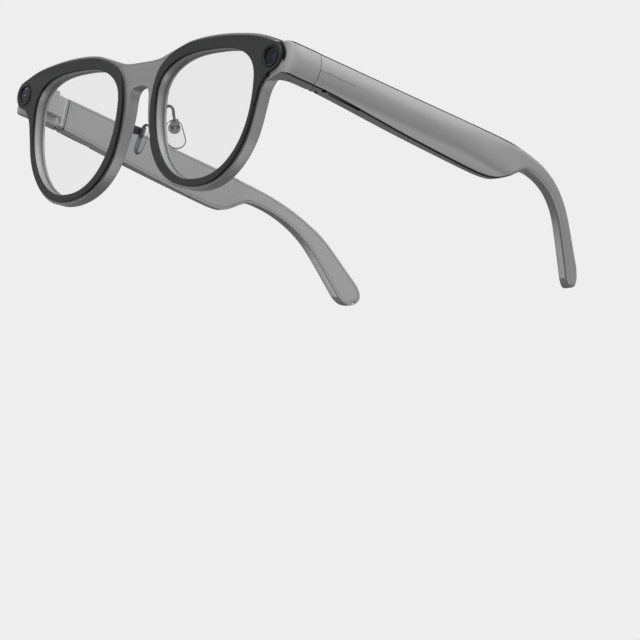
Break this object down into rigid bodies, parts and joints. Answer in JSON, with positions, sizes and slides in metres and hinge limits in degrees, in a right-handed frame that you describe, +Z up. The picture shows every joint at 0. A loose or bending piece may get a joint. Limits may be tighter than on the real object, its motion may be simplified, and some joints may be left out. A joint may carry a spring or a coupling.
{
  "type": "smart glasses",
  "caption": "Round-cornered glasses with a camera and an indicator light at the front corners, deep folding temples that hold electronics, curved ear hooks and silicone nose pads.",
  "frame": {"origin": "middle of the open glasses' bounding box, at the level of the surface they stand on", "axes": "+X towards the wearer's left, the front faces -Y, +Z up; the rims and the temple tips rest on Z = 0"},
  "size_m": [0.1536, 0.1622, 0.0528],
  "materials": {
    "silver_paint": "satin metallic silver paint over moulded nylon",
    "dark_plate": "fine matte charcoal",
    "clear_lens": "clear, polished, thin anti-reflection coat",
    "bezel_metal": "fine turned, black anodised",
    "dark_glass": "dark polished cover",
    "black_plastic": "matte moulded",
    "circuit_board": "solder mask",
    "flex_film": "amber polyimide film",
    "grey_plastic": "satin moulded",
    "hinge_steel": "satin stainless",
    "clear_silicone": "clear soft silicone",
    "battery_foil": "foil pouch",
    "mesh_fabric": "fine black mesh",
    "contact_gold": "polished gold plate"
  },
  "bodies": {
    "front": {"front_frame": "silver_paint", "left_front_plate": "dark_plate", "right_front_plate": "dark_plate", "left_lens": "clear_lens", "right_lens": "clear_lens", "camera_bezel": "bezel_metal", "camera_cover_glass": "dark_glass", "camera_lens_barrel": "black_plastic", "camera_sensor_board": "circuit_board", "indicator_bezel": "bezel_metal", "indicator_window": "dark_glass", "indicator_led_board": "circuit_board", "front_flex_cable": "flex_film", "left_hinge_cover": "grey_plastic", "right_hinge_cover": "grey_plastic", "left_front_hinge_leaf": "hinge_steel", "right_front_hinge_leaf": "hinge_steel", "left_hinge_pin": "hinge_steel", "right_hinge_pin": "hinge_steel", "front_hinge_screws": "hinge_steel", "left_nose_pad_arm": "hinge_steel", "right_nose_pad_arm": "hinge_steel", "nose_pad_screws": "hinge_steel"},
    "left_temple": {"left_temple_shell": "silver_paint", "left_temple_cover": "silver_paint", "left_tip_core": "hinge_steel", "left_temple_hinge_leaf": "hinge_steel", "left_temple_screws": "hinge_steel", "left_battery": "battery_foil", "left_circuit_board": "circuit_board", "left_speaker": "black_plastic", "left_speaker_mesh": "mesh_fabric", "left_microphone": "bezel_metal", "left_touch_sensor": "flex_film", "left_charging_contacts": "contact_gold"},
    "right_temple": {"right_temple_shell": "silver_paint", "right_temple_cover": "silver_paint", "right_tip_core": "hinge_steel", "right_temple_hinge_leaf": "hinge_steel", "right_temple_screws": "hinge_steel", "right_battery": "battery_foil", "right_circuit_board": "circuit_board", "right_speaker": "black_plastic", "right_speaker_mesh": "mesh_fabric", "right_microphone": "bezel_metal", "right_button_switch": "black_plastic"},
    "left_pad": {"left_nose_pad": "clear_silicone", "left_nose_pad_insert": "clear_silicone"},
    "right_pad": {"right_nose_pad": "clear_silicone", "right_nose_pad_insert": "clear_silicone"},
    "button": {"right_capture_button": "silver_paint"}
  },
  "joints": [
    {"name": "left_temple_hinge", "type": "hinge", "parent": "front", "child": "left_temple", "pos_m": [0.0678, -0.05994, 0.04072], "axis": [0, 0.0905, 0.9959], "range_deg": [0, 91]},
    {"name": "right_temple_hinge", "type": "hinge", "parent": "front", "child": "right_temple", "pos_m": [-0.0678, -0.05994, 0.04072], "axis": [0, -0.0905, -0.9959], "range_deg": [0, 80]},
    {"name": "left_pad_rock", "type": "hinge", "parent": "front", "child": "left_pad", "pos_m": [0.01006, -0.06985, 0.0261], "axis": [0.539, 0.7975, 0.271], "range_deg": [-8, 8]},
    {"name": "right_pad_rock", "type": "hinge", "parent": "front", "child": "right_pad", "pos_m": [-0.01006, -0.06985, 0.0261], "axis": [0.539, -0.7975, -0.271], "range_deg": [-8, 8]},
    {"name": "capture_button_press", "type": "slide", "parent": "right_temple", "child": "button", "axis": [0, -0.0905, -0.9959], "range_m": [0, 0.0004], "stiffness_N_per_m": 4000}
  ]
}
